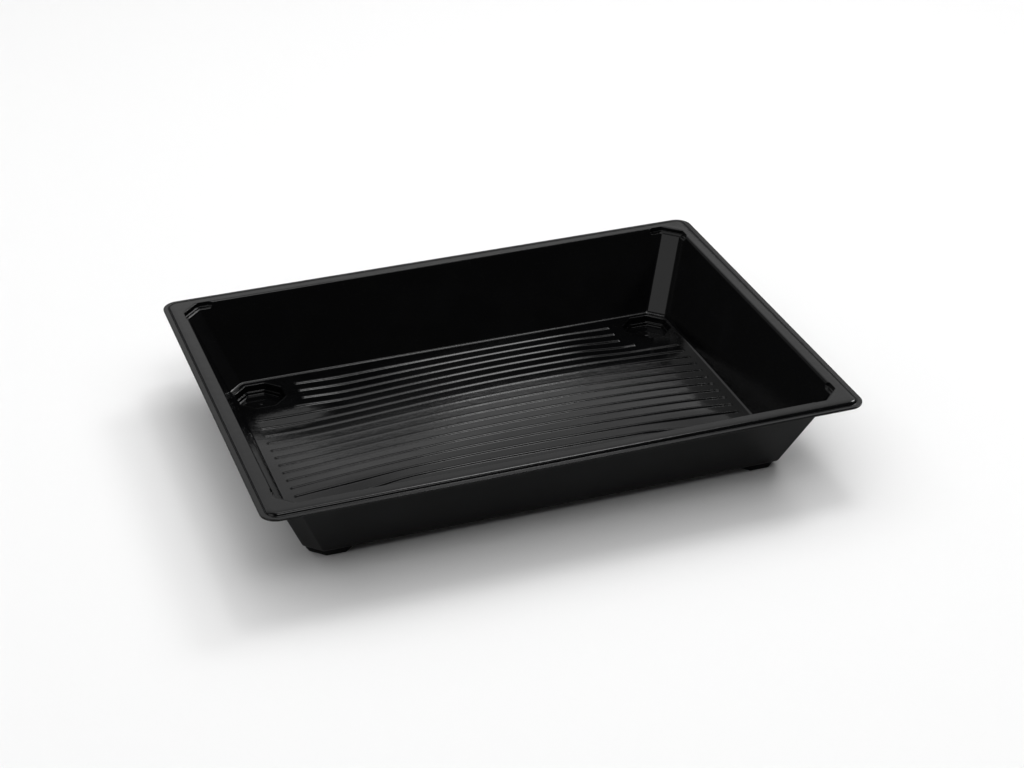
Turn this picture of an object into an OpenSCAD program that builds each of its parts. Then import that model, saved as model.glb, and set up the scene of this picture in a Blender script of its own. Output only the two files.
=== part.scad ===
// Paint roller tray: one thermoformed plastic sheet, modelled as its formed regions.
// Millimetres, +Z up. X runs along the ribs, Y across them.
// The origin is on the ground under the middle of the tray.

/* [Tray] */
// Length over the outer lip, along the ribs
tray_len = 400; // [380:1:440]
// Width over the outer lip, across the ribs
tray_w = 300; // [290:1:340]
// Height from the underside of the feet to the top of the rim
tray_h = 64; // [58:1:80]
// Thickness of the formed sheet
sheet_t = 1.5; // [1.2:0.1:1.8]

/* [Rim] */
// Width of the flat lip that runs round the outside of the rim
lip_w = 3.5; // [3:0.5:6]
// Drop from the top of the rim to the top of the lip
lip_drop = 2; // [1.9:0.1:3]
// Plan radius of the lip's corners
lip_r = 11; // [8:1:16]
// Width of the flat flange between the lip and the opening
flange_w = 10; // [8:0.5:12]

/* [Walls] */
// Horizontal run of the two end walls from floor to rim
end_wall_run = 21.5; // [16:0.5:26]
// Horizontal run of the two long walls from floor to rim
side_wall_run = 24.5; // [18:0.5:28]
// Leg of the flat facet across each inside corner
facet_leg = 10; // [8:0.5:12]

/* [Stacking shoulders] */
// Length of each shoulder's arms along the opening
shoulder_arm = 20; // [18:1:24]
// How far the shoulder bulges out past the opening
shoulder_bulge = 1.5; // [1:0.25:2]
// Leg of the shoulder's own corner chamfer
shoulder_leg = 12; // [11:0.5:13]
// Depth of the first drop below the rim
shoulder_drop = 3; // [2.5:0.25:4]
// Depth of the second drop
shoulder_step = 1.2; // [1:0.1:1.6]
// Width of the ledge between the two drops
shoulder_ledge = 1; // [0.8:0.1:1.2]

/* [Floor] */
// Rise of the crowned floor at its middle
crown_h = 6; // [0:0.5:8]
// Pitch of the roll-off ribs
rib_pitch = 10.4; // [10:0.1:10.6]
// Width of a rib at its foot
rib_base_w = 4; // [3:0.25:4.5]
// Width of a rib at its crest
rib_crest_w = 1; // [0.8:0.1:1.6]
// Height of a rib above the floor
rib_h = 0.8; // [0.6:0.1:1.5]

/* [Feet] */
// Height of the feet below the underside of the floor
foot_h = 7; // [5:0.5:9]
// Distance of each foot's middle from the tray's middle, along X
foot_x = 146; // [145:0.5:147]
// Distance of each foot's middle from the tray's middle, along Y
foot_y = 91; // [90:0.5:92]
// Half the width across flats of the octagonal foot recess at the floor
foot_apothem = 16.4; // [15.5:0.1:17]
// Width of the ledge inside the foot recess
foot_ledge = 1.2; // [1:0.1:1.6]
// Depth of the small last step at the bottom of the foot recess
foot_step = 2; // [1.5:0.1:2.5]

/* [Hidden] */

plate_z = tray_h - sheet_t;                       // underside of the flange
lip_z = tray_h - lip_drop;                        // top of the lip
floor_z = foot_h + sheet_t;                       // top of the floor at its edge
wall_rise = plate_z - floor_z;
open_x = tray_len / 2 - lip_w - flange_w;         // half opening at the rim
open_y = tray_w / 2 - lip_w - flange_w;
floor_x = open_x - end_wall_run;                  // half floor
floor_y = open_y - side_wall_run;

drop_z = tray_h - shoulder_drop;                  // top of the shoulder's first ledge
step_z = drop_z - shoulder_step;                  // top of its second ledge
block_x = open_x - shoulder_arm;                  // inner limits of the shoulder's block
block_y = open_y - shoulder_arm;

long_rib_rows = [0.5, 1.5, 2.5, 3.5, 4.5, 5.5];   // in rib pitches from the middle
mid_rib_row = 6.5;                                // shortened once, beside the feet
short_rib_rows = [7.5, 8.5, 9.5];                 // shortened further, between the feet
rib_rows = concat(long_rib_rows, [mid_rib_row], short_rib_rows);
long_rib_end = 158;
mid_rib_end = 128;
short_rib_end = 120;
rib_end_slope = (rib_base_w - rib_crest_w) / 2;    // length of the sloped end of a rib
land_x = 124;                                     // inner limits of the flat land round a foot
land_y = 71.5;
fade_x = 80;                                      // where the crown starts to fade to the lands
fade_y = 40;
pip_r = 1;                                        // moulding pip in the middle of each foot
pip_h = 0.4;
overcut = 1;                                      // how far cutting bodies run past a face
chamfer_share = tan(22.5);                        // growth of an octagon's corner per unit offset
black = [0.11, 0.115, 0.12];

// Plan outlines ------------------------------------------------------------

// A rectangle with round corners, centred on the origin
module rounded_rect(len, w, r) {
    square([len - 2 * r, w], center = true);
    square([len, w - 2 * r], center = true);
    for (sx = [-1, 1], sy = [-1, 1])
        translate([sx * (len / 2 - r), sy * (w / 2 - r)]) circle(r = r, $fn = 64);
}

// Edge of a stacking shoulder in the +X +Y corner, grown outwards by g
function shoulder_edge(g) =
    let (ox = open_x + shoulder_bulge + g, oy = open_y + shoulder_bulge + g,
         leg = shoulder_leg + g - chamfer_share * g)
    [[open_x + g, block_y],
     [ox, block_y + shoulder_bulge],
     [ox, oy - leg],
     [ox - leg, oy],
     [block_x + shoulder_bulge, oy],
     [block_x, open_y + g]];

function reversed(list) = [for (i = [len(list) - 1:-1:0]) list[i]];

// The same edge moved to the corner named by the signs, still counter-clockwise
function shoulder_corner(sx, sy) =
    [for (p = sx * sy > 0 ? shoulder_edge(0) : reversed(shoulder_edge(0))) [sx * p.x, sy * p.y]];

module opening_outline()
    polygon(concat(shoulder_corner(1, 1), shoulder_corner(-1, 1),
                   shoulder_corner(-1, -1), shoulder_corner(1, -1)));

// Moves a +X +Y corner piece to the corner named by the signs
module to_corner(sx, sy)
    mirror([sx < 0 ? 1 : 0, 0, 0]) mirror([0, sy < 0 ? 1 : 0, 0]) children();

// Rim ----------------------------------------------------------------------

module rim_flange()
    color(black) translate([0, 0, plate_z]) linear_extrude(sheet_t) difference() {
        rounded_rect(tray_len - 2 * lip_w, tray_w - 2 * lip_w, lip_r - lip_w);
        opening_outline();
    }

// The flat lip and the short riser that joins it to the flange
module outer_lip()
    color(black) difference() {
        union() {
            translate([0, 0, lip_z - sheet_t]) linear_extrude(sheet_t)
                rounded_rect(tray_len, tray_w, lip_r);
            translate([0, 0, lip_z - sheet_t]) linear_extrude(plate_z - lip_z + sheet_t)
                rounded_rect(tray_len - 2 * lip_w, tray_w - 2 * lip_w, lip_r - lip_w);
        }
        translate([0, 0, lip_z - sheet_t - overcut]) linear_extrude(tray_h)
            rounded_rect(tray_len - 2 * (lip_w + sheet_t), tray_w - 2 * (lip_w + sheet_t),
                         lip_r - lip_w - sheet_t);
    }

// Walls --------------------------------------------------------------------

// Section through a sloped wall: foot is where its inner face meets the floor
function wall_section(foot, run) =
    let (slope = run / wall_rise, thick = sheet_t * sqrt(1 + slope * slope))
    [[foot, floor_z - sheet_t],
     [foot, floor_z],
     [foot + run, plate_z],
     [foot + run + thick, plate_z],
     [foot + thick - sheet_t * slope, floor_z - sheet_t]];

// Space of the four shoulders, taken out of the walls and facets
module shoulder_blocks()
    for (sx = [-1, 1], sy = [-1, 1]) to_corner(sx, sy)
        translate([block_x, block_y, step_z - sheet_t])
            cube([tray_len, tray_w, tray_h]);

// Plan of a long wall between its mitres with the corner facets
module side_wall_plan()
    polygon([[floor_x - facet_leg, floor_y],
             [floor_x - facet_leg + 2 * end_wall_run, floor_y + 2 * side_wall_run],
             [-floor_x + facet_leg - 2 * end_wall_run, floor_y + 2 * side_wall_run],
             [-floor_x + facet_leg, floor_y]]);

// Plan of an end wall between its mitres
module end_wall_plan()
    polygon([[floor_x, -floor_y + facet_leg],
             [floor_x + 2 * end_wall_run, -floor_y + facet_leg - 2 * side_wall_run],
             [floor_x + 2 * end_wall_run, floor_y - facet_leg + 2 * side_wall_run],
             [floor_x, floor_y - facet_leg]]);

module side_wall()
    difference() {
        intersection() {
            translate([-tray_len / 2, 0, 0]) rotate([90, 0, 90])
                linear_extrude(tray_len) polygon(wall_section(floor_y, side_wall_run));
            linear_extrude(tray_h) side_wall_plan();
        }
        shoulder_blocks();
    }

module end_wall()
    difference() {
        intersection() {
            translate([0, tray_w / 2, 0]) rotate([90, 0, 0])
                linear_extrude(tray_w) polygon(wall_section(floor_x, end_wall_run));
            linear_extrude(tray_h) end_wall_plan();
        }
        shoulder_blocks();
    }

module back_wall() color(black) side_wall();
module front_wall() color(black) mirror([0, 1, 0]) side_wall();
module right_wall() color(black) end_wall();
module left_wall() color(black) mirror([1, 0, 0]) end_wall();

// Flat facet across a corner, between the mitres of its two walls
module corner_facet()
    difference() {
        intersection() {
            rotate([90, 0, 45]) translate([0, 0, -tray_w / 2]) linear_extrude(tray_w)
                polygon(wall_section((floor_x + floor_y - facet_leg) / sqrt(2),
                                     (end_wall_run + side_wall_run) / sqrt(2)));
            linear_extrude(tray_h)
                polygon([[floor_x, floor_y - facet_leg],
                         [floor_x + 2 * end_wall_run, floor_y - facet_leg + 2 * side_wall_run],
                         [floor_x - facet_leg + 2 * end_wall_run, floor_y + 2 * side_wall_run],
                         [floor_x - facet_leg, floor_y]]);
        }
        shoulder_blocks();
    }

module back_left_facet() color(black) to_corner(-1, 1) corner_facet();
module back_right_facet() color(black) to_corner(1, 1) corner_facet();
module front_left_facet() color(black) to_corner(-1, -1) corner_facet();
module front_right_facet() color(black) to_corner(1, -1) corner_facet();

// Stacking shoulders -------------------------------------------------------

// Plan of the shoulder's hollow when its edge is grown by g
module shoulder_plan(g) polygon(concat(shoulder_edge(g), [[block_x, block_y]]));

// A stepped pocket: a drop, a ledge, a second drop and a second ledge
module shoulder()
    let (inner_x = open_x - (plate_z - step_z) * end_wall_run / wall_rise,
         inner_y = open_y - (plate_z - step_z) * side_wall_run / wall_rise)
    difference() {
        translate([0, 0, step_z - sheet_t]) linear_extrude(plate_z - step_z + sheet_t)
            shoulder_plan(sheet_t);
        translate([0, 0, drop_z]) linear_extrude(tray_h) shoulder_plan(0);
        translate([0, 0, step_z]) linear_extrude(tray_h) shoulder_plan(-shoulder_ledge);
        linear_extrude(tray_h + overcut)
            polygon([[block_x - overcut, block_y - overcut],
                     [inner_x, block_y - overcut],
                     [inner_x, inner_y - facet_leg],
                     [inner_x - facet_leg, inner_y],
                     [block_x - overcut, inner_y]]);
    }

module back_left_shoulder() color(black) to_corner(-1, 1) shoulder();
module back_right_shoulder() color(black) to_corner(1, 1) shoulder();
module front_left_shoulder() color(black) to_corner(-1, -1) shoulder();
module front_right_shoulder() color(black) to_corner(1, -1) shoulder();

// Floor --------------------------------------------------------------------

// Share of the way from a to b that v has gone, held between 0 and 1
function ramp(v, a, b) = min(1, max(0, (v - a) / (b - a)));

// Height of the floor's top: crowned in the middle, flat at its edges and round the feet
function floor_top(x, y) =
    floor_z + crown_h * (1 - pow(x / floor_x, 2)) * (1 - pow(y / floor_y, 2))
        * (1 - ramp(abs(x), fade_x, land_x) * ramp(abs(y), fade_y, land_y));

// Grid lines: a rib's sides and ends lie on them, so that ribs and floor share their faces
half_lines_x = [20, 40, 60, 80, 100, short_rib_end, land_x, mid_rib_end, 143, long_rib_end, floor_x];
half_lines_y = concat(
    [for (row = rib_rows) if (row * rib_pitch < land_y) each
        [row * rib_pitch - rib_base_w / 2, row * rib_pitch + rib_base_w / 2]],
    [land_y],
    [for (row = rib_rows) if (row * rib_pitch > land_y) each
        [row * rib_pitch - rib_base_w / 2, row * rib_pitch + rib_base_w / 2]],
    [floor_y]);
lines_x = concat(-1 * reversed(half_lines_x), [0], half_lines_x);
lines_y = concat(-1 * reversed(half_lines_y), half_lines_y);
last_i = len(lines_x) - 1;
last_j = len(lines_y) - 1;

function in_land(i, j) =
    abs(lines_x[i] + lines_x[i + 1]) / 2 > land_x && abs(lines_y[j] + lines_y[j + 1]) / 2 > land_y;
function is_floor(i, j) =
    i >= 0 && i < last_i && j >= 0 && j < last_j && !in_land(i, j);

// The crowned sheet between the walls and the lands of the four feet
module floor_panel()
    let (top = [for (i = [0:last_i], j = [0:last_j])
             [lines_x[i], lines_y[j], floor_top(lines_x[i], lines_y[j])]],
         bottom = [for (p = top) p - [0, 0, sheet_t]],
         n = len(top),
         id = function (i, j) i * (last_j + 1) + j,
         side = function (p, q) [p + n, p, q, q + n],
         faces = [for (i = [0:last_i - 1], j = [0:last_j - 1]) if (is_floor(i, j))
             let (a = id(i, j), b = id(i + 1, j), c = id(i + 1, j + 1), d = id(i, j + 1))
             each concat([[a, d, c], [a, c, b], [a + n, b + n, c + n], [a + n, c + n, d + n]],
                 is_floor(i, j - 1) ? [] : [side(a, b)],
                 is_floor(i + 1, j) ? [] : [side(b, c)],
                 is_floor(i, j + 1) ? [] : [side(c, d)],
                 is_floor(i - 1, j) ? [] : [side(d, a)])])
    color(black) polyhedron(points = concat(top, bottom), faces = faces);

// One rib along X at height of the floor under it, from -end_x to end_x
module rib(y, end_x)
    let (stations = [for (x = lines_x) if (abs(x) <= end_x) x],
         last = len(stations) - 1,
         crest_x = [for (k = [0:last]) stations[k]
             + (k == 0 ? rib_end_slope : k == last ? -rib_end_slope : 0)],
         foot = function (k, s) let (py = y + s * rib_base_w / 2)
             [stations[k], py, floor_top(stations[k], py)],
         crest = function (k, s) let (py = y + s * rib_crest_w / 2)
             [crest_x[k], py, floor_top(crest_x[k], py) + rib_h],
         points = [for (k = [0:last]) each [foot(k, -1), foot(k, 1), crest(k, 1), crest(k, -1)]],
         faces = [for (k = [0:last - 1]) let (a = 4 * k, b = 4 * k + 4)
             each [[a, b, b + 1], [a, b + 1, a + 1],
                   [a + 1, b + 1, b + 2], [a + 1, b + 2, a + 2],
                   [a + 2, b + 2, b + 3], [a + 2, b + 3, a + 3],
                   [a + 3, b + 3, b], [a + 3, b, a]]])
    polyhedron(points = points,
               faces = concat(faces, [[0, 1, 2, 3], [for (s = [3:-1:0]) 4 * last + s]]));

module long_ribs()
    color(black) for (row = long_rib_rows, s = [-1, 1]) rib(s * row * rib_pitch, long_rib_end);

// The ribs beside and between two feet, shortened to clear their recesses
module short_ribs() {
    rib(mid_rib_row * rib_pitch, mid_rib_end);
    for (row = short_rib_rows) rib(row * rib_pitch, short_rib_end);
}

module back_short_ribs() color(black) short_ribs();
module front_short_ribs() color(black) mirror([0, 1, 0]) short_ribs();

// Feet ---------------------------------------------------------------------

// Upright octagon over a foot's middle, its flats square to the axes: z0 to z1, half width a
module octagon(z0, z1, a)
    translate([foot_x, foot_y, z0]) rotate([0, 0, 22.5])
        cylinder(h = z1 - z0, r = a / cos(22.5), $fn = 8);

// The flat corner of the floor with the hollow, stepped foot formed down from it
module foot()
    let (mid_land = floor_z - sheet_t / 2, ledge_z = sheet_t + foot_step,
         a_step = foot_apothem - foot_ledge)
    union() {
        difference() {
            union() {
                translate([0, 0, floor_z - sheet_t]) linear_extrude(sheet_t)
                    polygon([[land_x, land_y], [floor_x, land_y], [floor_x, floor_y - facet_leg],
                             [floor_x - facet_leg, floor_y], [land_x, floor_y]]);
                octagon(foot_step, mid_land, foot_apothem + sheet_t);
                octagon(0, mid_land, a_step + sheet_t);
            }
            octagon(ledge_z, tray_h, foot_apothem);
            octagon(sheet_t, tray_h, a_step);
        }
        translate([foot_x, foot_y, sheet_t / 2])
            cylinder(h = sheet_t / 2 + pip_h, r = pip_r, $fn = 32);
    }

module back_left_foot() color(black) to_corner(-1, 1) foot();
module back_right_foot() color(black) to_corner(1, 1) foot();
module front_left_foot() color(black) to_corner(-1, -1) foot();
module front_right_foot() color(black) to_corner(1, -1) foot();

rim_flange();
outer_lip();
back_wall();
front_wall();
left_wall();
right_wall();
back_left_facet();
back_right_facet();
front_left_facet();
front_right_facet();
back_left_shoulder();
back_right_shoulder();
front_left_shoulder();
front_right_shoulder();
floor_panel();
long_ribs();
back_short_ribs();
front_short_ribs();
back_left_foot();
back_right_foot();
front_left_foot();
front_right_foot();
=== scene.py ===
import math

import bpy
import numpy as np
from mathutils import Matrix, Vector
from mathutils.geometry import tessellate_polygon


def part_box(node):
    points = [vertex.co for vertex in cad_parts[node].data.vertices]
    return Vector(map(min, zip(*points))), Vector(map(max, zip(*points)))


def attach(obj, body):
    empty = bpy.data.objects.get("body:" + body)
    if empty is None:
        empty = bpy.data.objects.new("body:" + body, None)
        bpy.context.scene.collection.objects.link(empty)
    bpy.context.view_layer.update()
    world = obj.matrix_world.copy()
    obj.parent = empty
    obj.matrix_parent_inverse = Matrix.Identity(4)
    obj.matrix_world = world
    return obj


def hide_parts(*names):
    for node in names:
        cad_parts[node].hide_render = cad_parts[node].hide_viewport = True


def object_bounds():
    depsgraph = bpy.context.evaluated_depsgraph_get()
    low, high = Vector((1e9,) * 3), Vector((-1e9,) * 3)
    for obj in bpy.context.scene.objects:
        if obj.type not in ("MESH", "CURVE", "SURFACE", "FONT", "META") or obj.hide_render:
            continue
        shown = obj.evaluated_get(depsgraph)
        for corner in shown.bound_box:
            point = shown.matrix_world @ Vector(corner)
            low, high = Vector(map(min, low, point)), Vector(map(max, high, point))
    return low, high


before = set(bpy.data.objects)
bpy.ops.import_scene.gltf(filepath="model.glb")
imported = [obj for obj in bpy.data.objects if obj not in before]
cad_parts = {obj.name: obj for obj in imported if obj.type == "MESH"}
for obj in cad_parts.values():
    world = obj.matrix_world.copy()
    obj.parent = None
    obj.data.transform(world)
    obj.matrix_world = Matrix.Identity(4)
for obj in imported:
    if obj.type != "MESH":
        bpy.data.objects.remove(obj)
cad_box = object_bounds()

# ---------------------------------------------------------------- sizes, in millimetres, from the CAD frame
MM = 1000.0


def half(node):
    """Half length, half width, lowest z and highest z of a node that is centred on the origin."""
    lo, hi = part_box(node)
    return hi.x * MM, hi.y * MM, lo.z * MM, hi.z * MM


LIP_X, LIP_Y, LIP_LOW, PLATE_Z = half("outer_lip")
RIM_X, RIM_Y, _, TOP_Z = half("rim_flange")
FLOOR_X, FLOOR_Y, UNDER_Z, _ = half("floor_panel")
SHEET = TOP_Z - PLATE_Z
FLOOR_Z = UNDER_Z + SHEET
LIP_Z = LIP_LOW + SHEET
FLANGE_W = 10.0
OPEN_X = RIM_X - FLANGE_W                 # half the opening inside the flange
OPEN_Y = RIM_Y - FLANGE_W
RISE = PLATE_Z - FLOOR_Z                  # rise and runs of the sloped walls
RUN_X = OPEN_X - FLOOR_X
RUN_Y = OPEN_Y - FLOOR_Y
LEG = 10.0                                # leg of the corner facets
LIP_R = 11.0                              # plan radius of the tray's corners

shoulder_lo, shoulder_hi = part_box("back_right_shoulder")
BULGE_X = shoulder_hi.x * MM - SHEET      # outermost faces of the stacking shoulder's hollow
BULGE_Y = shoulder_hi.y * MM - SHEET
BULGE = BULGE_X - OPEN_X
BLOCK_X = shoulder_lo.x * MM              # inner limits of the shoulder
BLOCK_Y = shoulder_lo.y * MM
CHAMFER = 12.0                            # leg of the shoulder's chamfer
DROP = 3.0                                # first drop of the shoulder's top
STEP = 1.2                                # its second, smaller one
SHOULDER_LOW = shoulder_lo.z * MM

foot_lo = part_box("back_right_foot")[0]
LAND_X = foot_lo.x * MM                   # inner limits of the flat land round each foot
LAND_Y = foot_lo.y * MM
FOOT_X, FOOT_Y = 146.0, 91.0              # middle of the back right foot
FADE_X, FADE_Y = 80.0, 40.0               # where the crown starts to fade to the lands

PITCH = 10.4                              # from one roll-off rib to the next
RIB_HALF = 2.0
RIB_H = 0.75
RIB_ROWS = 10                             # rows each side of the middle
UNDER_SHARE = 0.8                         # how much of a rib shows on the underside of the sheet
LONG_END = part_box("long_ribs")[1].x * MM
MID_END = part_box("back_short_ribs")[1].x * MM
SHORT_END = 120.0
LONG_ROWS = 6                             # how many of the rows run full length

TAN_X = RUN_X / RISE
TAN_Y = RUN_Y / RISE
THICK_X = SHEET * math.hypot(1, TAN_X)    # horizontal thickness of the sloped walls
THICK_Y = SHEET * math.hypot(1, TAN_Y)
THICK_F = SHEET * math.hypot(1, (TAN_X + TAN_Y) / math.sqrt(2)) * math.sqrt(2)    # and the facets', along x
LEG_OUT = LEG + THICK_X + THICK_Y - THICK_F      # leg of the facets on the outside of the sheet
FILLET = 2.2                              # inside radius between walls and floor
EDGE_R = 2.0                              # plan radius between a wall and its facet
TURN = math.radians(22.5)                 # half the turn at a 45 degree vertex
SQRT_HALF = math.sqrt(0.5)


# ---------------------------------------------------------------- height functions, all in millimetres
def smooth(t):
    """Smooth step from 0 to 1."""
    t = np.clip(t, 0, 1)
    return t * t * (3 - 2 * t)


def smin(a, b, k):
    """Lower of two heights, blended over a width k."""
    h = np.maximum(k - np.abs(a - b), 0) / k
    return np.minimum(a, b) - h * h * k / 4


def crown(x, y):
    """Rise of the floor: crowned, sprung a little unevenly as the sheet cooled, and flat round the feet.

    The unevenness is a cubic in u and v, the shares of the half floor, fitted to the photo's rib lines and
    to what the floor mirrors.
    """
    u, v = x / FLOOR_X, y / FLOOR_Y
    shape = np.clip(1 - u * u, 0, None) * np.clip(1 - v * v, 0, None)
    rise = (6.62 + 2.13 * u - 4.32 * v + 8.6 * u * v - 1.65 * u * u + 1.13 * v * v
            - 10.6 * u * u * v - 1.1 * u * v * v + 3.85 * u ** 3)
    flat_x = smooth((np.abs(x) - FADE_X) / (LAND_X - FADE_X))
    flat_y = smooth((np.abs(y) - FADE_Y) / (LAND_Y - FADE_Y))
    return shape * rise * (1 - flat_x * flat_y)


def rib_height(x, y):
    """Height of the roll-off ribs above the floor: rounded bars with rounded ends."""
    ax, ay = np.abs(x), np.abs(y)
    row = np.clip(np.floor(ay / PITCH), 0, RIB_ROWS - 1)
    end = np.where(row < LONG_ROWS, LONG_END, np.where(row == LONG_ROWS, MID_END, SHORT_END))
    across = ay - (row + 0.5) * PITCH
    along = np.maximum(0, ax - (end - RIB_HALF))
    d = np.hypot(across, along)
    return RIB_H * (0.5 + 0.5 * np.cos(math.pi * np.clip(d / RIB_HALF, 0, 1)))


def pocket_depth(x, y):
    """Distance inside the outline of a stacking shoulder, from any of the four corners."""
    x, y = np.abs(x), np.abs(y)
    blend = 0.6
    d = smin(BULGE_X - x, BULGE_Y - y, blend)
    d = smin(d, (BULGE_X + BULGE_Y - CHAMFER - x - y) * SQRT_HALF, blend)
    d = smin(d, (OPEN_X - BLOCK_Y - x + y) * SQRT_HALF, blend)
    return smin(d, (OPEN_Y - BLOCK_X - y + x) * SQRT_HALF, blend)


def wall_plane(x, y, outside):
    """Height of the sloped walls' planes over a point, on the inside or the outside of the sheet."""
    x, y = np.abs(x), np.abs(y)
    tx, ty, tf = (THICK_X, THICK_Y, THICK_F) if outside else (0, 0, 0)
    a = FLOOR_Z + (x - FLOOR_X - tx) / TAN_X
    b = FLOOR_Z + (y - FLOOR_Y - ty) / TAN_Y
    c = FLOOR_Z + (x + y - FLOOR_X - FLOOR_Y + LEG - tf) / (TAN_X + TAN_Y)
    return np.maximum(np.maximum(a, b), c)


WALL_BLEND = 0.8                          # rounding between a shoulder and the walls below it
RIM_BLEND = 2.2                           # rounding between the flange and the walls
# where the shoulder's drops start, inside its outline, and over what width they fall
DROP_START, DROP_WIDTH = -0.25, 0.6
STEP_START, STEP_WIDTH = 0.95, 0.5
UNDER_START, UNDER_WIDTH = -1.95, 0.6


def rim_top(x, y):
    """Top of the rim: the flange, the shoulders' two steps down, and the walls' planes inside them."""
    d = pocket_depth(x, y)
    walls = wall_plane(x, y, False)
    z = TOP_Z - DROP * smooth((d - DROP_START) / DROP_WIDTH) - STEP * smooth((d - STEP_START) / STEP_WIDTH)
    outside = d < -DROP_WIDTH
    return np.where(outside, smin(walls, TOP_Z + 0.0 * x, RIM_BLEND), smin(z, walls, WALL_BLEND))


def rim_under(x, y):
    """Underside of the rim, with the shoulders' outsides."""
    d = pocket_depth(x, y)
    z = PLATE_Z - (PLATE_Z - SHOULDER_LOW) * smooth((d - UNDER_START) / UNDER_WIDTH)
    return smin(z, wall_plane(x, y, True), WALL_BLEND)


# ---------------------------------------------------------------- stations round one quarter of the tray
# The sheet is a grid: stations go round it, and at each one the rails go across it, from below the floor's
# edge, up the outside, over the rim and down the inside to the floor. One quarter is mirrored to the others.
def unit(deg):
    """Unit vector in plan."""
    return np.array([math.cos(math.radians(deg)), math.sin(math.radians(deg))])


def rounded_vertex(vertex, mid_deg, r, deg, inset, convex):
    """Point of an outline's rounded 45 degree vertex, moved inward; deg is the outward normal there."""
    sign = 1 if convex else -1
    centre = np.array(vertex) - sign * unit(mid_deg) * r / math.cos(TURN)
    s = r - sign * inset
    if s >= 0:
        return centre + sign * s * unit(deg)
    return centre + sign * s / math.cos(TURN) * unit(mid_deg)


MITRE_Y = FLOOR_Y - LEG + RUN_Y        # where a wall's mitre reaches the rim
MITRE_X = FLOOR_X - LEG + RUN_X
# the rounded vertices of the shoulder's outline: point, normal midway, radius, convex
VERTICES = [
    ((OPEN_X, BLOCK_Y), -22.5, 2.0, False),
    ((BULGE_X, BLOCK_Y + BULGE), -22.5, 1.0, True),
    ((BULGE_X, BULGE_Y - CHAMFER), 22.5, 1.2, True),
    ((BULGE_X - CHAMFER, BULGE_Y), 67.5, 1.2, True),
    ((BLOCK_X + BULGE, BULGE_Y), 112.5, 1.0, True),
    ((BLOCK_X, OPEN_Y), 112.5, 2.0, False),
]
TANGENT_X = FILLET * math.tan(math.atan2(RISE, RUN_X) / 2)
TANGENT_Y = FILLET * math.tan(math.atan2(RISE, RUN_Y) / 2)
FLAT_X, FLAT_Y = FLOOR_X - TANGENT_X, FLOOR_Y - TANGENT_Y      # where the floor's fillet ends
LAND_SHARE_X = LAND_X / (FLAT_X - LEG)                 # shares of a wall's half length at the land's limits
LAND_SHARE_Y = LAND_Y / (FLAT_Y - LEG)


def spread(a, b, n):
    """Even steps from a to b."""
    return [a + (b - a) * i / (n - 1) for i in range(n)]


# a station's side is x, y, facet, or one of the rounded vertices v1 and v2 between them; share, deg or m is
# its place there, edge its place on the opening's outline, rim its place on the tray's outline, and pocket
# is 1 in a shoulder and 0 outside it
stations = []


def station(**k):
    stations.append(k)


def plain(share, side):
    """A station on the straight part of a wall."""
    top = share * (MITRE_Y if side == "x" else MITRE_X)
    station(side=side, share=share, edge=("line", top), rim=top, pocket=0.0)


def turning(side, vertex, degrees, places, pockets):
    """Stations round one of the vertices where a shoulder's outline leaves the wall's."""
    wall = MITRE_Y if side == "x" else MITRE_X
    for deg, place, pocket in zip(degrees, places, pockets):
        station(side=side, share=place / wall, edge=("v", vertex, deg), rim=place, pocket=pocket)


for share in sorted(spread(0, 0.8, 9) + [LAND_SHARE_Y, 0.85, 0.885, 0.903]):
    plain(share, "x")
turning("x", 0, spread(0, -45, 6), spread(BLOCK_Y - 0.8, BLOCK_Y + 0.4, 6), spread(0.0, 0.5, 6))
turning("x", 1, spread(-45, 0, 5), spread(BLOCK_Y + 1.1, BLOCK_Y + 2.0, 5), spread(0.6, 1.0, 5))
for y, rim in ((119.5, 120.5), (121.5, 124.5), (123.5, 128), (125.0, 131)):
    station(side="x", share=y / MITRE_Y, edge=("bulge", y), rim=rim, pocket=1.0)
for deg, rim in zip(spread(0, 45, 5), spread(132.5, 138.5, 5)):
    station(side="v1", deg=deg, edge=("v", 2, deg), rim=rim, pocket=1.0)
N_FACET = 11
for i in range(N_FACET):
    share = (i + 1) / (N_FACET + 1)
    station(side="facet", m=share, edge=("facet", share), rim=("arc", 90 * i / (N_FACET - 1)), pocket=1.0)
for deg, rim in zip(spread(45, 90, 5), spread(188.5, 182.5, 5)):
    station(side="v2", deg=deg, edge=("v", 3, deg), rim=rim, pocket=1.0)
for x, rim in ((175.0, 181), (173.2, 178), (171.5, 174.5), (169.5, 170.5)):
    station(side="y", share=x / MITRE_X, edge=("bulge", x), rim=rim, pocket=1.0)
turning("y", 4, spread(90, 135, 5), spread(BLOCK_X + 2.0, BLOCK_X + 1.1, 5), spread(1.0, 0.6, 5))
turning("y", 5, spread(135, 90, 6), spread(BLOCK_X + 0.4, BLOCK_X - 0.8, 6), spread(0.5, 0.0, 6))
for share in sorted(spread(0, 0.8, 11) + [LAND_SHARE_X, 0.86, 0.91, 0.93], reverse=True):
    plain(share, "y")
LAST_STATION = len(stations) - 1


def is_back(st):
    return st["side"] in ("y", "v2")


def rim_point(st, inset):
    """Point on the tray's outline, moved inward."""
    r = st["rim"]
    if isinstance(r, tuple):
        return np.array([LIP_X - LIP_R, LIP_Y - LIP_R]) + (LIP_R - inset) * unit(r[1])
    return np.array([r, LIP_Y - inset]) if is_back(st) else np.array([LIP_X - inset, r])


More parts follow.
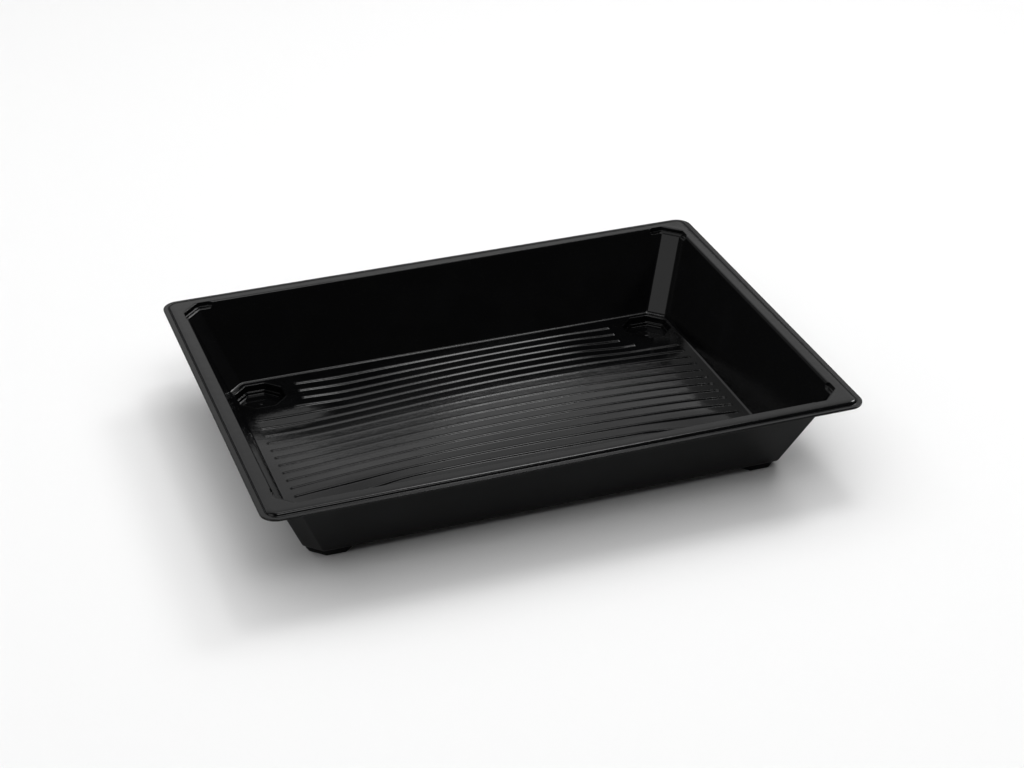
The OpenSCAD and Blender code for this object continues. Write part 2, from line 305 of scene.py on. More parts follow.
def edge_point(st, inset):
    """Point on the opening's outline, moved inward."""
    kind, *rest = st["edge"]
    back = is_back(st)
    if kind == "line":
        return np.array([rest[0], OPEN_Y - inset]) if back else np.array([OPEN_X - inset, rest[0]])
    if kind == "bulge":
        return np.array([rest[0], BULGE_Y - inset]) if back else np.array([BULGE_X - inset, rest[0]])
    if kind == "v":
        vertex, mid, r, convex = VERTICES[rest[0]]
        return rounded_vertex(vertex, mid, r, rest[1], inset, convex)
    a, b = (rounded_vertex(*VERTICES[k][:3], 45, inset, True) for k in (2, 3))
    return a + (b - a) * rest[0]


def ring_point(st, hx, hy, leg):
    """Point of a chamfered rectangle with half sides hx and hy and rounded vertices."""
    a, b = (hx, hy - leg), (hx - leg, hy)
    side = st["side"]
    if side == "x":
        return np.array([hx, st["share"] * (hy - leg)])
    if side == "y":
        return np.array([st["share"] * (hx - leg), hy])
    if side == "v1":
        return rounded_vertex(a, 22.5, EDGE_R, st["deg"], 0, True)
    if side == "v2":
        return rounded_vertex(b, 67.5, EDGE_R, st["deg"], 0, True)
    p = rounded_vertex(a, 22.5, EDGE_R, 45, 0, True)
    q = rounded_vertex(b, 67.5, EDGE_R, 45, 0, True)
    return p + (q - p) * st["m"]


# ---------------------------------------------------------------- rails across the sheet
rails = []      # (plan function of a station, height function of x and y)
cut = {}        # the rails where one piece ends and the next begins, on top (_t) and below (_b)


def level(z):
    return lambda x, y: z + 0.0 * x


def above_floor(z):
    return lambda x, y: z + crown(x, y)


def rail_rim(inset, z):
    rails.append((lambda st: rim_point(st, inset), level(z)))


def rail_edge(in_pocket, in_plain, height):
    """A rail along the opening, with one inset in the shoulders and another outside them."""
    rails.append((lambda st: edge_point(st, in_plain + (in_pocket - in_plain) * st["pocket"]), height))


def rail_ring(hx, hy, leg, height):
    rails.append((lambda st: ring_point(st, hx, hy, leg), height))


def level_ring(z, outside):
    """Half sides and leg of the walls' outline at height z."""
    tx, ty, leg = (THICK_X, THICK_Y, LEG_OUT) if outside else (0, 0, LEG)
    hx = FLOOR_X + tx + (z - FLOOR_Z) * TAN_X
    hy = FLOOR_Y + ty + (z - FLOOR_Z) * TAN_Y
    return hx, hy, leg


def fillet_ring(share, outside):
    """Half sides, leg and height of the fillet's outline; share 0 is at the floor and 1 at the wall."""
    r = FILLET + (SHEET if outside else 0)
    base = UNDER_Z if outside else FLOOR_Z
    px, py = math.atan2(RISE, RUN_X) * share, math.atan2(RISE, RUN_Y) * share
    hx, hy = FLAT_X + r * math.sin(px), FLAT_Y + r * math.sin(py)
    leg = LEG + (LEG_OUT - LEG) * math.sin(px) / math.sin(math.atan2(RISE, RUN_X)) if outside else LEG
    zx, zy = base + r * (1 - math.cos(px)), base + r * (1 - math.cos(py))
    return hx, hy, leg, (zx + zy) / 2


# heights of the rings on the walls, and those under and in the shoulders, where rails lie closer
WALL_LEVELS = [56.0, 50.0, 43.0, 36.0, 29.0, 22.0, 16.0, 12.5]
LEVELS_UNDER = [SHOULDER_LOW + rise for rise in (-0.9, -0.4, 0, 0.3, 0.6)]
LEVELS_IN = [SHOULDER_LOW + rise for rise in (2.2, 1.9, 1.7, 1.5, 1.3, 1.0, 0.6, 0)]
FILLET_SHARES = [1.0, 0.8, 0.6, 0.4, 0.2, 0.0]

# insets from the opening's outline, in a shoulder and outside it, for the same rails
FLANGE_CUT_UNDER = (-1.65, -1.5)
FLANGE_CUT_TOP = (0.05, 0.0)
INSETS_UNDER = [(-0.4, -0.5), (-0.8, -0.7), (-1.2, -0.9), (-1.35, -1.1), (-1.5, -1.3), FLANGE_CUT_UNDER,
                (-1.8, -1.7), (-1.95, -1.9), (-2.2, -2.2), (-2.6, -2.6), (-3.4, -3.4)]
INSETS_TOP = [(-3.4, -3.4), (-2.0, -2.0), (-1.2, -1.6), (-0.7, -1.4), (-0.45, -1.2), (-0.3, -1.0),
              (-0.2, -0.8), (-0.1, -0.6), (0.0, -0.3), FLANGE_CUT_TOP, (0.12, 0.08), (0.2, 0.16),
              (0.28, 0.23), (0.36, 0.3), (0.6, 0.36), (0.95, 0.41), (1.05, 0.46), (1.15, 0.5), (1.25, 0.54),
              (1.35, 0.58), (1.45, 0.62), (1.7, 0.66)]

# section of the lip and the flange's outer edge, as insets from the tray's outline and heights
LIP_CUT_UNDER = (5.35, PLATE_Z - 0.2)
LIP_CUT_TOP = (LIP_X - RIM_X, PLATE_Z)
LIP_UNDER = [(6.3, PLATE_Z), (5.7, PLATE_Z - 0.04), LIP_CUT_UNDER, (5.15, PLATE_Z - 0.55),
             (5.1, PLATE_Z - 1.1), (5.0, LIP_LOW + 0.45), (4.75, LIP_LOW + 0.15), (4.4, LIP_LOW + 0.02),
             (4.0, LIP_LOW), (2.0, LIP_LOW), (0.45, LIP_LOW), (0.15, LIP_LOW + 0.12), (0.0, LIP_LOW + 0.45)]
LIP_TOP = [(0.0, LIP_Z - 0.45), (0.13, LIP_Z - 0.13), (0.4, LIP_Z), (1.2, LIP_Z), (2.5, LIP_Z),
           (3.0, LIP_Z + 0.02), (3.25, LIP_Z + 0.1), (3.42, LIP_Z + 0.3), LIP_CUT_TOP,
           (3.62, TOP_Z - 1.25), (3.84, TOP_Z - 0.94), (4.15, TOP_Z - 0.66), (4.52, TOP_Z - 0.44),
           (5.0, TOP_Z - 0.26), (5.6, TOP_Z - 0.13), (6.3, TOP_Z - 0.05), (7.2, TOP_Z - 0.01), (8.2, TOP_Z)]


def lay_rails(values, lay, cut_name=None, cut_value=None):
    """Lays a rail for each value, and notes which rail is the cut."""
    for value in values:
        if value == cut_value:
            cut[cut_name] = len(rails)
        lay(value)


def lay_fillet(share, outside):
    hx, hy, leg, z = fillet_ring(share, outside)
    rail_ring(hx, hy, leg, above_floor(z))


# outside, from the floor's underside up, and round the lip
cut["floor_b"] = 0
lay_rails(reversed(FILLET_SHARES), lambda share: lay_fillet(share, True))
lay_rails(reversed(WALL_LEVELS), lambda z: rail_ring(*level_ring(z, True), level(z)))
lay_rails(LEVELS_UNDER, lambda z: rail_ring(*level_ring(z, True), rim_under), "shoulder_b", SHOULDER_LOW)
lay_rails(INSETS_UNDER, lambda pair: rail_edge(*pair, rim_under), "flange_b", FLANGE_CUT_UNDER)
lay_rails(LIP_UNDER, lambda point: rail_rim(*point), "lip_b", LIP_CUT_UNDER)
# top, over the flange and down the inside
lay_rails(LIP_TOP, lambda point: rail_rim(*point), "lip_t", LIP_CUT_TOP)
lay_rails(INSETS_TOP, lambda pair: rail_edge(*pair, rim_top), "flange_t", FLANGE_CUT_TOP)
lay_rails(LEVELS_IN, lambda z: rail_ring(*level_ring(z, False), rim_top), "shoulder_t", SHOULDER_LOW)
lay_rails(WALL_LEVELS, lambda z: rail_ring(*level_ring(z, False), level(z)))
lay_rails(FILLET_SHARES, lambda share: lay_fillet(share, False))
cut["floor_t"] = len(rails) - 1

quarter = np.array([[plan(st) for plan, _ in rails] for st in stations])      # station, rail, xy
CORNERS = {"back_right": (1, 1), "back_left": (-1, 1), "front_left": (-1, -1), "front_right": (1, -1)}
ring_index = []     # quarter station and corner of each station of the full ring, which starts at the right
plan_xy = []
for corner in CORNERS.values():
    mirrored = corner[0] * corner[1] < 0
    for i in range(LAST_STATION, 0, -1) if mirrored else range(0, LAST_STATION):
        ring_index.append((i, corner))
        plan_xy.append(quarter[i] * np.array(corner))
plan_xy = np.array(plan_xy)
RING = len(plan_xy)                           # stations round the full ring
skin = np.zeros((*plan_xy.shape[:2], 3))      # station, rail, xyz
skin[:, :, :2] = plan_xy
for k, (_, height) in enumerate(rails):
    skin[:, k, 2] = height(plan_xy[:, k, 0], plan_xy[:, k, 1])


def grid_normals(p, closed):
    """Area-weighted vertex normals of a grid of points, so that flats stay flat beside small fillets."""
    q = np.concatenate([p, p[:1]], 0) if closed else p
    d1 = q[1:, 1:] - q[:-1, :-1]
    d2 = q[:-1, 1:] - q[1:, :-1]
    f = np.cross(d2, d1)
    n = np.zeros_like(q)
    for a in (slice(0, -1), slice(1, None)):
        for b in (slice(0, -1), slice(1, None)):
            n[a, b] += f
    if closed:
        n[0] += n[-1]
        n = n[:-1]
    length = np.linalg.norm(n, axis=2, keepdims=True)
    return n / np.where(length > 1e-12, length, 1)


skin_n = grid_normals(skin, True)
if skin_n[0, cut["floor_t"], 2] < 0:
    skin_n = -skin_n


def floor_normal(x, y):
    """Normal of the crowned floor without its ribs."""
    e = 0.5
    gx = (crown(x + e, y) - crown(x - e, y)) / (2 * e)
    gy = (crown(x, y + e) - crown(x, y - e)) / (2 * e)
    n = np.stack([-gx, -gy, np.ones_like(gx)], -1)
    return n / np.linalg.norm(n, axis=-1, keepdims=True)


# at the floor's edge the walls and the floor share the crown's own normals, so that the shading is seamless
for k, sign in ((cut["floor_t"], 1), (cut["floor_b"], -1)):
    skin_n[:, k] = sign * floor_normal(skin[:, k, 0], skin[:, k, 1])


# ---------------------------------------------------------------- pieces
class Piece:
    """Collects faces as points and normals, and makes one closed mesh with seamless shading."""

    def __init__(self, name, nodes):
        self.name, self.nodes = name, nodes
        self.index, self.points, self.faces, self.normals = {}, [], [], []

    def add(self, points, normals=None):
        """Adds a face, less any repeated points; without normals it is shaded flat."""
        ids, ns = [], []
        for j, p in enumerate(points):
            key = tuple(np.round(p, 4))
            if key not in self.index:
                self.index[key] = len(self.points)
                self.points.append(np.array(p) / MM)
            i = self.index[key]
            if i not in ids:
                ids.append(i)
                ns.append(None if normals is None else normals[j])
        if len(ids) < 3:
            return
        if normals is None:
            pts = np.array([self.points[i] for i in ids])
            n = np.cross(pts - pts[0], np.roll(pts, -1, 0) - pts[0]).sum(0)
            size = np.linalg.norm(n)
            n = n / size if size > 0 else np.array([0, 0, 1.0])
            ns = [n] * len(ids)
        self.faces.append(ids)
        self.normals.extend(ns)

    def make(self, material):
        mesh = bpy.data.meshes.new(self.name + "_skin")
        mesh.from_pydata([tuple(p) for p in self.points], [], self.faces)
        mesh.polygons.foreach_set("use_smooth", [True] * len(mesh.polygons))
        mesh.update()
        mesh.normals_split_custom_set([tuple(float(c) for c in n) for n in self.normals])
        mesh.materials.append(material)
        o = bpy.data.objects.new(self.name + "_skin", mesh)
        bpy.context.scene.collection.objects.link(o)
        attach(o, "root")
        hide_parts(*self.nodes)
        return o


pieces = []


def steps(order):
    """Neighbours in a list of stations."""
    return zip(order[:-1], order[1:])


def cover(piece, order, spans):
    """The sheet's faces along a list of stations, over spans of rails."""
    for lo, hi in spans:
        for s, r in steps(order):
            for k in range(lo, hi):
                quad = [(s, k), (r, k), (r, k + 1), (s, k + 1)]
                piece.add([skin[q] for q in quad], [skin_n[q] for q in quad])


def close_along(piece, order, top_rail, under_rail, outer):
    """The cut faces through the sheet along a list of stations; outer ones face the rim."""
    for s, r in steps(order) if outer else [(r, s) for s, r in steps(order)]:
        piece.add([skin[s, top_rail], skin[s, under_rail], skin[r, under_rail], skin[r, top_rail]])


def close_ends(piece, order, t0, t1, b0, b1):
    """The cut faces through the sheet at the first and last station."""
    for s, flip in ((order[0], False), (order[-1], True)):
        loop = [skin[s, k] for k in range(t0, t1 + 1)] + [skin[s, k] for k in range(b1, b0 + 1)]
        piece.add(loop[::-1] if flip else loop)


def stretch(a, b):
    """Ring stations from a round to b."""
    return [(a + i) % RING for i in range((b - a) % RING + 1)]


def lip_piece(name, inner):
    """The lip, all round the tray from its outer edge to a cut."""
    piece = Piece(name, [name])
    order = stretch(0, RING - 1) + [0]
    t, b = cut[inner + "_t"], cut[inner + "_b"]
    cover(piece, order, [(b, t)])
    close_along(piece, order, t, b, False)
    pieces.append(piece)


def skin_piece(name, order, outer, inner):
    """The part of the skin along a list of stations between two cuts."""
    piece = Piece(name, [name])
    t0, t1, b0, b1 = cut[outer + "_t"], cut[inner + "_t"], cut[outer + "_b"], cut[inner + "_b"]
    cover(piece, order, [(t0, t1), (b1, b0)])
    close_along(piece, order, t0, b0, True)
    close_along(piece, order, t1, b1, False)
    if order[0] != order[-1]:
        close_ends(piece, order, t0, t1, b0, b1)
    pieces.append(piece)


def quarter_stations(test):
    """Numbers of the quarter's stations that pass a test."""
    return [i for i, st in enumerate(stations) if test(st)]


pocket_stations = quarter_stations(lambda st: st["pocket"] > 0 or (st["edge"][0] == "v"))
v1_stations = quarter_stations(lambda st: st["side"] == "v1")
v2_stations = quarter_stations(lambda st: st["side"] == "v2")
pocket_ends = pocket_stations[0], pocket_stations[-1]
facet_ends = v1_stations[2], v2_stations[2]      # a facet reaches the middle of both rounded vertices
ring_of = {key: n for n, key in enumerate(ring_index)}


def corner_range(corner, ends):
    """First and last ring station, in ring order, of a stretch of quarter stations at a corner."""
    a, b = (ring_of[(end, corner)] for end in ends)
    return (a, b) if corner[0] * corner[1] > 0 else (b, a)


lip_piece("outer_lip", "lip")
skin_piece("rim_flange", stretch(0, RING - 1) + [0], "lip", "flange")
for name, corner in CORNERS.items():
    skin_piece(name + "_shoulder", stretch(*corner_range(corner, pocket_ends)), "flange", "shoulder")
    skin_piece(name + "_facet", stretch(*corner_range(corner, facet_ends)), "shoulder", "floor")


def wall_piece(name, start_corner, end_corner):
    """A wall from one corner's facet to the next, with its upper part between the two shoulders."""
    start, end = CORNERS[start_corner], CORNERS[end_corner]
    lower = stretch(corner_range(start, facet_ends)[1], corner_range(end, facet_ends)[0])
    upper = stretch(corner_range(start, pocket_ends)[1], corner_range(end, pocket_ends)[0])
    piece = Piece(name, [name])
    ft, st, lt = cut["flange_t"], cut["shoulder_t"], cut["floor_t"]
    fb, sb, lb = cut["flange_b"], cut["shoulder_b"], cut["floor_b"]
    cover(piece, upper, [(ft, st), (sb, fb)])
    cover(piece, lower, [(st, lt), (lb, sb)])
    close_along(piece, upper, ft, fb, True)
    close_along(piece, lower, lt, lb, False)
    # the lower part goes on under the shoulders at both ends
    first, last = lower.index(upper[0]), lower.index(upper[-1])
    close_along(piece, lower[:first + 1], st, sb, True)
    close_along(piece, lower[last:], st, sb, True)
    close_ends(piece, upper, ft, st, fb, sb)
    close_ends(piece, lower, st, lt, sb, lb)
    pieces.append(piece)


wall_piece("back_wall", "back_right", "back_left")
wall_piece("left_wall", "back_left", "front_left")
wall_piece("front_wall", "front_left", "front_right")
wall_piece("right_wall", "front_right", "back_right")

# ---------------------------------------------------------------- floor and ribs
# a grid, closest over the ribs and their ends; its lines are the same in all four quarters, and the round
# numbers among them only fill the gaps between the lands, the ribs' ends and the fillet
RIB_STEPS = [RIB_HALF * i / 10 for i in range(11)]
half_x = [8 * i for i in range(15)] + [LAND_X, 134, 142, 150, 160.5, FLAT_X]
for end in (SHORT_END, MID_END, LONG_END):
    half_x += [end - d for d in RIB_STEPS]
half_x = sorted(set(round(v, 5) for v in half_x))
half_y = [LAND_Y, FLAT_Y, 105.5]
for row in range(RIB_ROWS):
    c = (row + 0.5) * PITCH
    for d in RIB_STEPS + [2 * RIB_HALF]:
        half_y += [c - d, c + d]
half_y = sorted(set(round(v, 5) for v in half_y if 0 <= v <= FLAT_Y + 1e-6))
xs = np.array([-v for v in half_x[:0:-1]] + half_x)
ys = np.array([-v for v in half_y[::-1]] + half_y)
gx, gy = np.meshgrid(xs, ys, indexing="ij")
rib = rib_height(gx, gy)
top = np.stack([gx, gy, FLOOR_Z + crown(gx, gy) + rib], -1)
low = np.stack([gx, gy, UNDER_Z + crown(gx, gy) + UNDER_SHARE * rib], -1)
top_n, low_n = grid_normals(top, False), -grid_normals(low, False)
if top_n[5, 5, 2] < 0:
    top_n, low_n = -top_n, -low_n
# where the floor meets the walls and the lands, both sides share the crown's own normals
border = np.zeros(gx.shape, bool)
border[0], border[-1], border[:, 0], border[:, -1] = True, True, True, True
border |= (np.abs(np.abs(gx) - LAND_X) < 1e-6) & (np.abs(gy) >= LAND_Y - 1e-6)
border |= (np.abs(np.abs(gy) - LAND_Y) < 1e-6) & (np.abs(gx) >= LAND_X - 1e-6)
analytic = floor_normal(gx, gy)
top_n[border] = analytic[border]
low_n[border] = -analytic[border]


def region(x, y):
    """Which node a point of the floor belongs to; None on the lands, which are the feet's."""
    ax, ay = abs(x), abs(y)
    if ax > LAND_X and ay > LAND_Y:
        return None
    row = int(ay // PITCH)
    if row < RIB_ROWS and abs(ay - (row + 0.5) * PITCH) < RIB_HALF:
        if row < LONG_ROWS:
            return "long_ribs" if ax < LONG_END else "floor_panel"
        if ax < (MID_END if row == LONG_ROWS else SHORT_END):
            return "back_short_ribs" if y > 0 else "front_short_ribs"
    return "floor_panel"


NX, NY = len(xs) - 1, len(ys) - 1
cell = [[region((xs[i] + xs[i + 1]) / 2, (ys[j] + ys[j + 1]) / 2) for j in range(NY)] for i in range(NX)]
FLOOR_NODES = ("floor_panel", "long_ribs", "back_short_ribs", "front_short_ribs")
floor_parts = {n: Piece(n, [n]) for n in FLOOR_NODES}


def cell_at(i, j):
    return cell[i][j] if 0 <= i < NX and 0 <= j < NY else None


def add_cell(i, j):
    """One grid cell of the floor: top, underside, and the sides where another piece or nothing is."""
    name = cell[i][j]
    if name is None:
        return
    piece = floor_parts[name]
    c = [(i, j), (i + 1, j), (i + 1, j + 1), (i, j + 1)]
    piece.add([top[q] for q in c], [top_n[q] for q in c])
    piece.add([low[q] for q in c[::-1]], [low_n[q] for q in c[::-1]])
    others = [cell_at(i, j - 1), cell_at(i + 1, j), cell_at(i, j + 1), cell_at(i - 1, j)]
    for a, b, other in zip(c, c[1:] + c[:1], others):
        if other != name:
            piece.add([top[a], low[a], low[b], top[b]])


for i in range(NX):
    for j in range(NY):
        add_cell(i, j)
pieces.extend(floor_parts.values())

# ---------------------------------------------------------------- feet
OCT_STEPS = 4


def octagon(apothem, r, z):
    """A rounded octagon round a foot's middle, its flats square to the axes."""
    r = min(r, apothem)
    points = []
    for j in range(8):
        mid = 22.5 + 45 * j
        centre = unit(mid) * (apothem - r) / math.cos(TURN)
        for i in range(OCT_STEPS + 1):
            points.append(centre + r * unit(mid - 22.5 + 45 * i / OCT_STEPS))
    return np.array([[FOOT_X + p[0], FOOT_Y + p[1], z] for p in points])


# sections of a foot's recess and of its outside, from the land down: half width of the octagon, radius of
# its corners, and height; the recess ends in the faint moulding pip
RECESS = [(17.3, 2.6, FLOOR_Z), (16.85, 2.5, 8.45), (16.6, 2.4, 8.3), (16.42, 2.3, 8.0), (16.32, 2.2, 7.5),
          (16.0, 2.0, 4.4), (15.9, 1.9, 3.9), (15.72, 1.8, 3.62), (15.45, 1.7, 3.5), (15.05, 1.6, 3.48),
          (14.85, 1.5, 3.36), (14.75, 1.4, 3.1), (14.55, 1.3, 2.1), (14.42, 1.2, 1.75), (14.2, 1.1, 1.56),
          (13.8, 1.0, SHEET), (8.0, 2.0, SHEET), (2.5, 2.5, SHEET), (1.5, 1.5, SHEET), (1.1, 1.1, 1.58),
          (0.8, 0.8, 1.66), (0.4, 0.4, 1.68)]
CUP = [(17.45, 3.2, UNDER_Z), (17.42, 3.1, 6.7), (17.35, 3.0, 6.0), (17.2, 3.0, 2.7), (17.05, 2.9, 2.25),
       (16.8, 2.8, 2.02), (16.4, 2.7, 1.96), (16.15, 2.6, 1.75), (15.97, 2.5, 0.6), (15.8, 2.4, 0.2),
       (15.45, 2.3, 0.03), (15.0, 2.2, 0.0), (8.0, 2.0, 0.0), (2.0, 2.0, 0.0)]


def cup_grid(loops, sign):
    """Points and normals of a recess, sign 1, or of a foot's outside, sign -1."""
    p = np.array([octagon(*loop) for loop in loops])        # loop, station
    p = np.swapaxes(p, 0, 1)
    n = grid_normals(p, True)
    if n[0, 0, 2] * sign < 0:
        n = -n
    n[:, 0] = (0, 0, sign)
    return p, n


def foot_piece(name, corner):
    """A foot and the flat land round it, made at the back right and mirrored to its corner."""
    piece = Piece(name, [name])
    sx, sy = corner
    flip = sx * sy < 0
    scale = np.array([sx, sy, 1.0])

    def put(points, normals=None):
        points = [np.array(p) * scale for p in points]
        normals = None if normals is None else [np.array(n) * scale for n in normals]
        if flip:
            points = points[::-1]
            normals = None if normals is None else normals[::-1]
        piece.add(points, normals)

    i0 = quarter_stations(lambda st: st["side"] == "x" and abs(st["share"] - LAND_SHARE_Y) < 1e-9)[0]
    i1 = quarter_stations(lambda st: st["side"] == "y" and abs(st["share"] - LAND_SHARE_X) < 1e-9)[0]
    rims = {}
    for key, k, z, up in (("t", cut["floor_t"], FLOOR_Z, 1), ("b", cut["floor_b"], UNDER_Z, -1)):
        rims[key] = [np.array([*quarter[i, k], z]) for i in range(i0, i1 + 1)]
        rims[key].append(np.array([LAND_X, LAND_Y, z]))
        grid, normal = cup_grid(RECESS if up > 0 else CUP, up)
        count = grid.shape[0]
        hole = [grid[s, 0] for s in range(count)]
        flat = [Vector(p) for p in rims[key]]
        inner = [Vector(p) for p in hole[::-1]]
        every = rims[key] + hole[::-1]
        for tri in tessellate_polygon([flat, inner]):
            pts = [every[t] for t in tri]
            area = np.cross(pts[1] - pts[0], pts[2] - pts[0])[2]
            if abs(area) < 1e-9:
                continue
            if area * up < 0:
                pts = pts[::-1]
            put(pts, [(0, 0, up)] * 3)
        for s in range(count):
            r = (s + 1) % count
            for k2 in range(grid.shape[1] - 1):
                quad = [(s, k2), (r, k2), (r, k2 + 1), (s, k2 + 1)]
                if up < 0:
                    quad = quad[::-1]
                put([grid[q] for q in quad], [normal[q] for q in quad])
        last = [grid[s, -1] for s in range(count)]
        put(last if up > 0 else last[::-1], [(0, 0, up)] * count)
    n = len(rims["t"])
    for i in range(n):
        j = (i + 1) % n
        put([rims["t"][i], rims["b"][i], rims["b"][j], rims["t"][j]])
    pieces.append(piece)


for name, corner in CORNERS.items():
    foot_piece(name + "_foot", corner)


# ---------------------------------------------------------------- material
IOR = 1.5
SHEEN_BROAD = (0.085, 0.12)               # roughness of the cloudy variation, from glossiest to dullest
SHEEN_STREAKS = 0.05                      # roughness that the drawn streaks add
SHEEN_DUST = 0.35                         # and the specks of dust
BLACK = (0.0033, 0.0034, 0.0038, 1)
RUBBED = (0.03, 0.031, 0.034, 1)
STREAK_STRETCH = (1, 60, 14)              # the streaks run along x


def plastic():
    """Glossy black polystyrene sheet with slight handling wear."""
    m = bpy.data.materials.new("black_styrene")
    m.use_nodes = True
    tree = m.node_tree
    tree.nodes.clear()

    def node(kind, **values):
        n = tree.nodes.new(kind)
        for key, value in values.items():
            if hasattr(n, key):
                setattr(n, key, value)
            else:
                n.inputs[key.replace("_", " ")].default_value = value
        return n

    out = node("ShaderNodeOutputMaterial")
    bsdf = node("ShaderNodeBsdfPrincipled")
    tree.links.new(bsdf.outputs["BSDF"], out.inputs["Surface"])
    coord = node("ShaderNodeTexCoord")
    bsdf.inputs["IOR"].default_value = IOR
    bsdf.inputs["Specular IOR Level"].default_value = 0.5

    def noise(scale, detail, stretch=(1, 1, 1)):
        mapping = node("ShaderNodeMapping")
        mapping.inputs["Scale"].default_value = stretch
        tree.links.new(coord.outputs["Object"], mapping.inputs["Vector"])
        n = node("ShaderNodeTexNoise", Scale=scale, Detail=detail, Roughness=0.55)
        tree.links.new(mapping.outputs["Vector"], n.inputs["Vector"])
        return n.outputs["Fac"]

    def remap(value, low, high, to_low, to_high):
        n = node("ShaderNodeMapRange")
        for key, v in (("From Min", low), ("From Max", high), ("To Min", to_low), ("To Max", to_high)):
            n.inputs[key].default_value = v
        tree.links.new(value, n.inputs["Value"])
        return n.outputs["Result"]

    def add(a, b):
        n = node("ShaderNodeMath", operation="ADD")
        tree.links.new(a, n.inputs[0])
        tree.links.new(b, n.inputs[1])
        return n.outputs["Value"]

    def bump(height, strength, distance):
        n = node("ShaderNodeBump", Strength=strength, Distance=distance)
        tree.links.new(height, n.inputs["Height"])
        return n

    # roughness: broad cloudy variation, fine drawn streaks, and specks of dust
    cloud = remap(noise(scale=14.0, detail=4.0), 0.3, 0.7, *SHEEN_BROAD)
    streaks = remap(noise(scale=9.0, detail=5.0, stretch=STREAK_STRETCH), 0.56, 0.72, 0.0, SHEEN_STREAKS)
    specks = noise(scale=1500.0, detail=1.0)
    dust = remap(specks, 0.72, 0.8, 0.0, SHEEN_DUST)
    tree.links.new(add(add(cloud, streaks), dust), bsdf.inputs["Roughness"])
    # colour: black, a little greyer in the dust and the rubbed places
    rubbing = remap(noise(scale=30.0, detail=5.0), 0.45, 0.75, 0.0, 0.12)
    shade = add(rubbing, remap(specks, 0.7, 0.8, 0.0, 0.6))
    mix = node("ShaderNodeMix", data_type="RGBA")
    mix.inputs["A"].default_value = BLACK
    mix.inputs["B"].default_value = RUBBED
    tree.links.new(shade, mix.inputs["Factor"])
    tree.links.new(mix.outputs["Result"], bsdf.inputs["Base Color"])
    # bump: faint sheet grain over a slight orange peel
    grain = bump(noise(scale=900.0, detail=2.0), strength=0.1, distance=0.0002)
    peel = bump(noise(scale=160.0, detail=2.0), strength=0.05, distance=0.001)
    tree.links.new(grain.outputs["Normal"], peel.inputs["Normal"])
    tree.links.new(peel.outputs["Normal"], bsdf.inputs["Normal"])
    return m


tray_plastic = plastic()
for piece in pieces:
    piece.make(tray_plastic)

# ---------------------------------------------------------------- floor, light and camera
def stage_floor(name, depth, albedo):
    """A plain matt floor a little below the tray's feet."""
    size = 6.0
    z = cad_box[0][2] - depth
    corners = [(-size, -size, z), (size, -size, z), (size, size, z), (-size, size, z)]
    mesh = bpy.data.meshes.new(name)
    mesh.from_pydata(corners, [], [(0, 1, 2, 3)])
    o = bpy.data.objects.new(name, mesh)
    m = bpy.data.materials.new(name)
    m.use_nodes = True
    bsdf = m.node_tree.nodes["Principled BSDF"]
    bsdf.inputs["Base Color"].default_value = (albedo, albedo, albedo, 1)
    bsdf.inputs["Roughness"].default_value = 0.9
    bsdf.inputs["Specular IOR Level"].default_value = 0.1
    mesh.materials.append(m)
    bpy.context.scene.collection.objects.link(o)
    return o


def area_light(name, place, width, depth, power, turn=0.0):
    """A rectangular light that faces straight down; turn is in degrees, about the vertical."""
    data = bpy.data.lights.new(name, "AREA")
    data.shape, data.size, data.size_y, data.energy = "RECTANGLE", width, depth, power
    o = bpy.data.objects.new(name, data)
    bpy.context.scene.collection.objects.link(o)
    o.location = place
    o.rotation_euler = (0, 0, math.radians(turn))
    return o


# the camera sees the pale floor, which has a fill light of its own; the tray mirrors the dim one instead, a
# darker copy of it whose lower albedo is painted shade, as if the floor it mirrors lay in the tray's shadow
pale_floor = stage_floor("studio_floor", depth=0.0003, albedo=0.86)
pale_floor.visible_glossy = False
# painted shade: this floor's albedo is darker than the pale floor's, so the tray mirrors a shaded floor
shade_painted_floor = stage_floor("mirrored_floor_painted_shade", depth=0.0002, albedo=0.55)
shade_painted_floor.visible_camera = False
shade_painted_floor.visible_diffuse = False
shade_painted_floor.visible_shadow = False


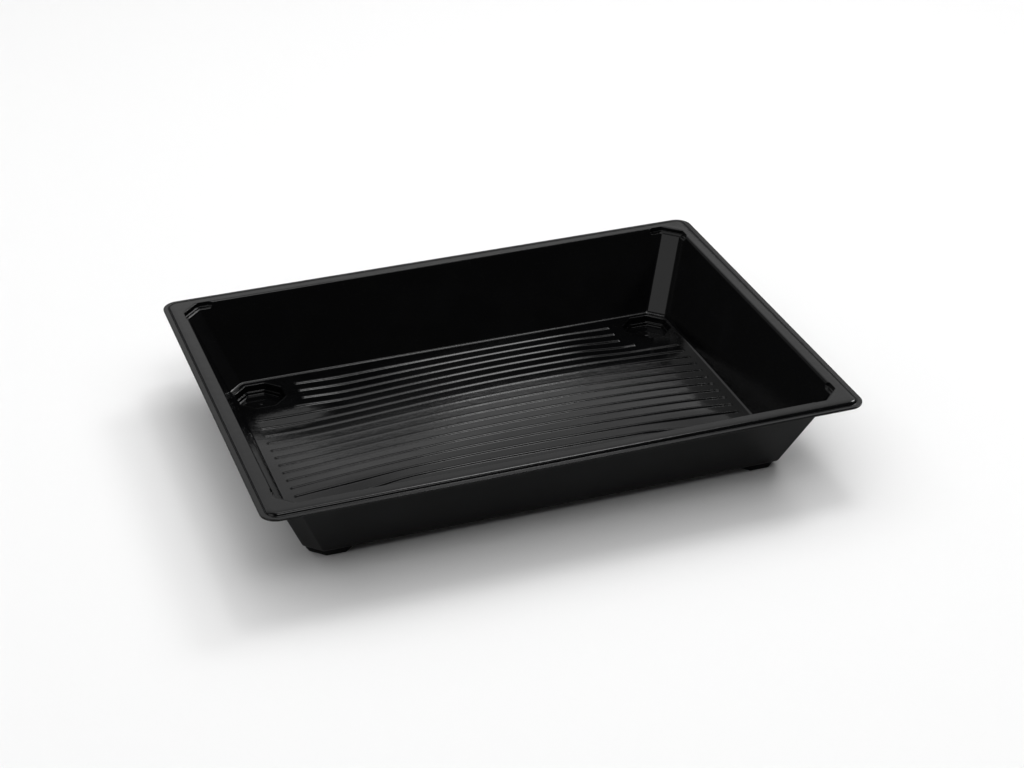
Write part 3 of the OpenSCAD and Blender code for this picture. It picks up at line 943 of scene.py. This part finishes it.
def studio_world():
    """A dim studio round the tray, worked back from what the photo's tray mirrors: nearly dark behind the
    camera, a pale wall high up at the back with a sharp lower edge, and three soft glows."""
    world = bpy.data.worlds.new("studio")
    bpy.context.scene.world = world
    world.use_nodes = True
    tree = world.node_tree
    background = tree.nodes["Background"]
    background.inputs["Color"].default_value = (1, 1, 1, 1)
    coord = tree.nodes.new("ShaderNodeTexCoord")

    def facing(direction, start, full, value):
        """A soft glow of that strength round a direction; start and full are cosines from it."""
        dot = tree.nodes.new("ShaderNodeVectorMath")
        dot.operation = "DOT_PRODUCT"
        tree.links.new(coord.outputs["Generated"], dot.inputs[0])
        dot.inputs[1].default_value = Vector(direction).normalized()
        ramp = tree.nodes.new("ShaderNodeMapRange")
        ramp.interpolation_type = "SMOOTHSTEP"
        for key, v in (("From Min", start), ("From Max", full), ("To Min", 0.0), ("To Max", value)):
            ramp.inputs[key].default_value = v
        tree.links.new(dot.outputs["Value"], ramp.inputs["Value"])
        return ramp.outputs["Result"]

    def join(kind, a, b):
        n = tree.nodes.new("ShaderNodeMath")
        n.operation = kind
        for socket, v in zip(n.inputs, (a, b)):
            if isinstance(v, float):
                socket.default_value = v
            else:
                tree.links.new(v, socket)
        return n.outputs[0]

    up, to_back = (0, 0, 1), (0, 1, 0)
    wall = join("ADD", facing(up, 0.407, 0.422, 0.57), 0.11)              # the wall's lower edge
    wall = join("ADD", wall, facing(up, 0.44, 0.52, -0.18))               # it is dimmer higher up
    glow = join("MULTIPLY", wall, facing(to_back, 0.12, 0.55, 1.0))
    glow = join("ADD", glow, facing((-0.84, -0.3, 0.46), 0.86, 0.97, 0.62))      # low on the left
    glow = join("ADD", glow, facing((0.08, -0.46, 0.88), 0.97, 0.992, 2.6))      # overhead, near the camera
    glow = join("ADD", glow, facing((0.62, 0.38, 0.69), 0.985, 0.995, 8.0))      # at the back right
    glow = join("ADD", glow, 0.03)
    tree.links.new(glow, background.inputs["Strength"])


studio_world()
area_light("softbox", (0.35, 0.44, 1.9), width=1.1, depth=0.6, power=2.9, turn=10)
# the softbox is brighter towards one end; the core hangs just under it, so that the softbox doesn't hide it
area_light("softbox_core", (0.52, 0.44, 1.84), width=0.38, depth=0.56, power=2.4, turn=10)
fill = area_light("floor_fill", (0, 0, 2.4), width=5.0, depth=5.0, power=82)
lit = bpy.data.collections.new("lit_by_fill")
lit.objects.link(pale_floor)
fill.light_linking.receiver_collection = lit
bpy.context.scene.view_settings.view_transform = "Standard"

# the camera's place, direction and lens, fitted to the tray's corners in the photo
CAMERA_PLACE = Vector((-0.42540, -1.25758, 0.79129))
AZIMUTH, ELEVATION, ROLL = math.radians(-19.06), math.radians(29.6), math.radians(0.66)
LENS, SENSOR = 79.02, 36.0


def photo_camera():
    """A camera where the photo's was."""
    level = Vector((math.sin(AZIMUTH), -math.cos(AZIMUTH), 0)) * math.cos(ELEVATION)
    back = level + Vector((0, 0, math.sin(ELEVATION)))
    right = Vector((math.cos(AZIMUTH), math.sin(AZIMUTH), 0))
    up = back.cross(right)
    across = math.cos(ROLL) * right - math.sin(ROLL) * up
    upright = math.sin(ROLL) * right + math.cos(ROLL) * up
    data = bpy.data.cameras.new("camera")
    data.lens, data.sensor_width = LENS, SENSOR
    data.clip_start, data.clip_end = 0.01, 50.0
    camera = bpy.data.objects.new("camera", data)
    bpy.context.scene.collection.objects.link(camera)
    turned = Matrix((across, upright, back)).transposed().to_4x4()
    camera.matrix_world = Matrix.Translation(CAMERA_PLACE) @ turned
    bpy.context.scene.camera = camera


photo_camera()
